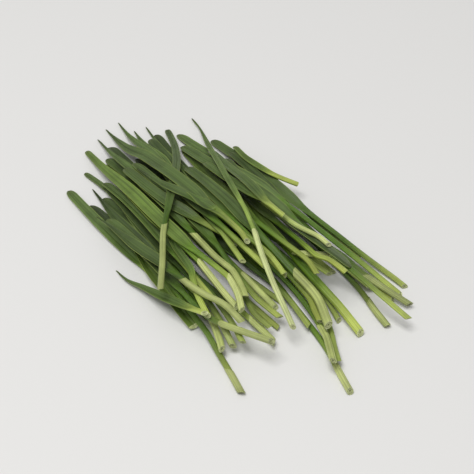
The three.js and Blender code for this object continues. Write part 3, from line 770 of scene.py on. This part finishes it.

# %% [markdown]
# ## Cloudy patches and pale edges
# A leaf isn't one even green. Soft patches come from a noise in the object's own space, so they never
# repeat from one shoot to the next. The edges of a blade are thin and let light through. That light is
# painted in, as a fine pale line of colour along each edge.

# %% Cloudy patches and pale edges
CLOUD_RANGE = (0.35, 0.65)  # from a clear patch to a full one

patches, asked = new_group("cloudy patches", {"Patch Size": 9 * MM}, {"Patch": "NodeSocketFloat"})
patch_scale = maths(patches, "DIVIDE", 1, asked["Patch Size"])
own_place = add_node(patches, "ShaderNodeTexCoord").outputs["Object"]
cloud = add_node(patches, "ShaderNodeTexNoise", {"Vector": own_place, "Scale": patch_scale, "Detail": 3})
add_node(patches, "NodeGroupOutput", {"Patch": ramp(patches, cloud.outputs[0], *CLOUD_RANGE)})

# painted light: a pale line along each blade edge, for light shining through the thin edge
edges, asked = new_group("pale edges", {"Edge Width": 0.1}, {"Edge": "NodeSocketFloat"})
out = maths(edges, "ABSOLUTE", grown_value(edges, "across"))
inner = maths(edges, "SUBTRACT", 1, asked["Edge Width"])
rim = maths(edges, "MULTIPLY", ramp(edges, out, inner, 1), grown_value(edges, "open"))
add_node(edges, "NodeGroupOutput", {"Edge": rim})
print("groups:", patches.name, "and", edges.name)

# %% [markdown]
# ## One finish for each tone of green
# The four finishes differ in how dark their shoots look. Partly that is each shoot's own green, and partly
# painted shade: the dark finish also goes on shoots lying under others, in the heap's shade. Each places
# the groups above with its own colours. Wheatgrass has a thin wax, so the skin has a soft sheen and never
# a sharp mirror.

# %% One finish for each tone of green
GREENS = {
    # partly painted shade: shoots lying under others in the heap get these darker colours
    "shoot_dark": {
        "Foot": linear(176, 194, 96), "Stem": linear(80, 110, 36), "Blade": linear(76, 96, 46),
        "Tip": linear(92, 106, 58), "Sheath": linear(192, 206, 122), "Cut Face": linear(214, 222, 158),
    },
    "shoot_green": {
        "Foot": linear(194, 210, 102), "Stem": linear(96, 132, 36), "Blade": linear(100, 124, 62),
        "Tip": linear(106, 124, 64), "Sheath": linear(206, 218, 132), "Cut Face": linear(220, 228, 164),
    },
    "shoot_bright": {
        "Foot": linear(200, 214, 100), "Stem": linear(114, 152, 40), "Blade": linear(116, 142, 62),
        "Tip": linear(118, 136, 68), "Sheath": linear(214, 224, 140), "Cut Face": linear(224, 232, 168),
    },
    "shoot_pale": {
        "Foot": linear(214, 224, 142), "Stem": linear(158, 184, 86), "Blade": linear(112, 136, 70),
        "Tip": linear(108, 118, 76), "Sheath": linear(218, 228, 156), "Cut Face": linear(224, 230, 170),
    },
}
PATCH_SHADE = 0.22
VEIN_SHADE = 0.24
STREAK_SHADE = 0.45
STREAK_RANGE = (0.35, 0.7)
TINT_SHADE = 0.24
STEM_VEINS = 0.35  # how much of the veins shows on a stem
# how far the painted edge light pales a blade's colour
EDGE_LIGHT_SHARE = 0.42
ROUGHNESS = 0.42
RELIEF = 0.05 * MM


def place_group(finish, group, values=None):
    """A shader group placed in a finish, with its own values."""
    node = finish.node_tree.nodes.new("ShaderNodeGroup")
    node.node_tree = group
    for label, value in (values or {}).items():
        node.inputs[label].default_value = value
    return node.outputs


def darker(tree, color, share, amount):
    """A colour made darker by up to an amount, where the share is 1."""
    keep = maths(tree, "MULTIPLY_ADD", share, -amount, 1)
    return add_node(tree, "ShaderNodeVectorMath", {0: color, "Scale": keep}, operation="SCALE").outputs[0]


def shoot_finish(slot, greens):
    """The finish of one tone of green."""
    finish = bpy.data.materials.new(slot)
    finish.use_nodes = True
    tree = finish.node_tree
    along = place_group(finish, tone, greens)
    lines = place_group(finish, veins)
    patch = place_group(finish, patches)["Patch"]
    edge = place_group(finish, edges)["Edge"]
    color = darker(tree, along["Color"], patch, PATCH_SHADE)
    veined = blend(tree, grown_value(tree, "open"), STEM_VEINS, 1)
    color = darker(tree, color, maths(tree, "MULTIPLY", lines["Stripe"], veined), VEIN_SHADE)
    color = darker(tree, color, ramp(tree, lines["Streak"], *STREAK_RANGE), STREAK_SHADE)
    color = darker(tree, color, grown_value(tree, "tint"), TINT_SHADE)
    # painted light: blade edges are mixed towards the pale foot colour, for light shining through them
    color = tint(tree, maths(tree, "MULTIPLY", edge, EDGE_LIGHT_SHARE), color, greens["Foot"])
    bump = add_node(tree, "ShaderNodeBump", {"Height": lines["Stripe"], "Distance": RELIEF, "Strength": 1.0})
    shader = tree.nodes["Principled BSDF"]
    shader.inputs["Roughness"].default_value = ROUGHNESS
    tree.links.new(color, shader.inputs["Base Color"])
    tree.links.new(bump.outputs["Normal"], shader.inputs["Normal"])
    return finish


finishes = {slot: shoot_finish(slot, greens) for slot, greens in GREENS.items()}
print("finishes:", ", ".join(finishes))

# %% [markdown]
# ## Growing all the shoots
# Each guide gets the tree as a modifier, with the finish of its own shoot. The grown skin is then kept as a
# plain mesh, and the guide is thrown away. The measures that only the tree needed are taken off the mesh.

# %% Growing all the shoots
KEPT_MEASURES = {"across", "along", "left", "open", "sheath", "cut", "tint"}
SHARP_ANGLE = math.radians(55)
slots = {part["node"]: part["material_slot"] for part in frame["record"]["subparts"]}


def grow(name, guide):
    """The plain mesh that the tree makes from a guide."""
    helper = bpy.data.objects.new(name + "_guide", guide)
    bpy.context.scene.collection.objects.link(helper)
    modifier = helper.modifiers.new("grow", "NODES")
    modifier.node_group = grower
    modifier[identifiers["Finish"]] = finishes[slots[name]]
    depsgraph = bpy.context.evaluated_depsgraph_get()
    mesh = bpy.data.meshes.new_from_object(helper.evaluated_get(depsgraph))
    bpy.data.objects.remove(helper)
    for attribute in [a.name for a in mesh.attributes if a.domain == "POINT" and not a.name.startswith(".")]:
        if attribute not in KEPT_MEASURES | {"position"}:
            mesh.attributes.remove(mesh.attributes[attribute])
    mesh.set_sharp_from_angle(angle=SHARP_ANGLE)
    return mesh


def volume_of(mesh):
    """The volume inside a closed mesh, below nothing if it is inside out."""
    skin = bmesh.new()
    skin.from_mesh(mesh)
    volume = skin.calc_volume(signed=True)
    open_edges = sum(not edge.is_manifold for edge in skin.edges)
    skin.free()
    return volume, open_edges


for name, guide in guides.items():
    mesh = grow(name, guide)
    piece = bpy.data.objects.new("grown_" + name, mesh)
    bpy.context.scene.collection.objects.link(piece)
    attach(piece, "root")
    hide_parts(name)
    volume, open_edges = volume_of(mesh)
    print(piece.name, len(mesh.polygons), "faces", round(volume / MM**3, 1), "mm3", open_edges, "open edges")
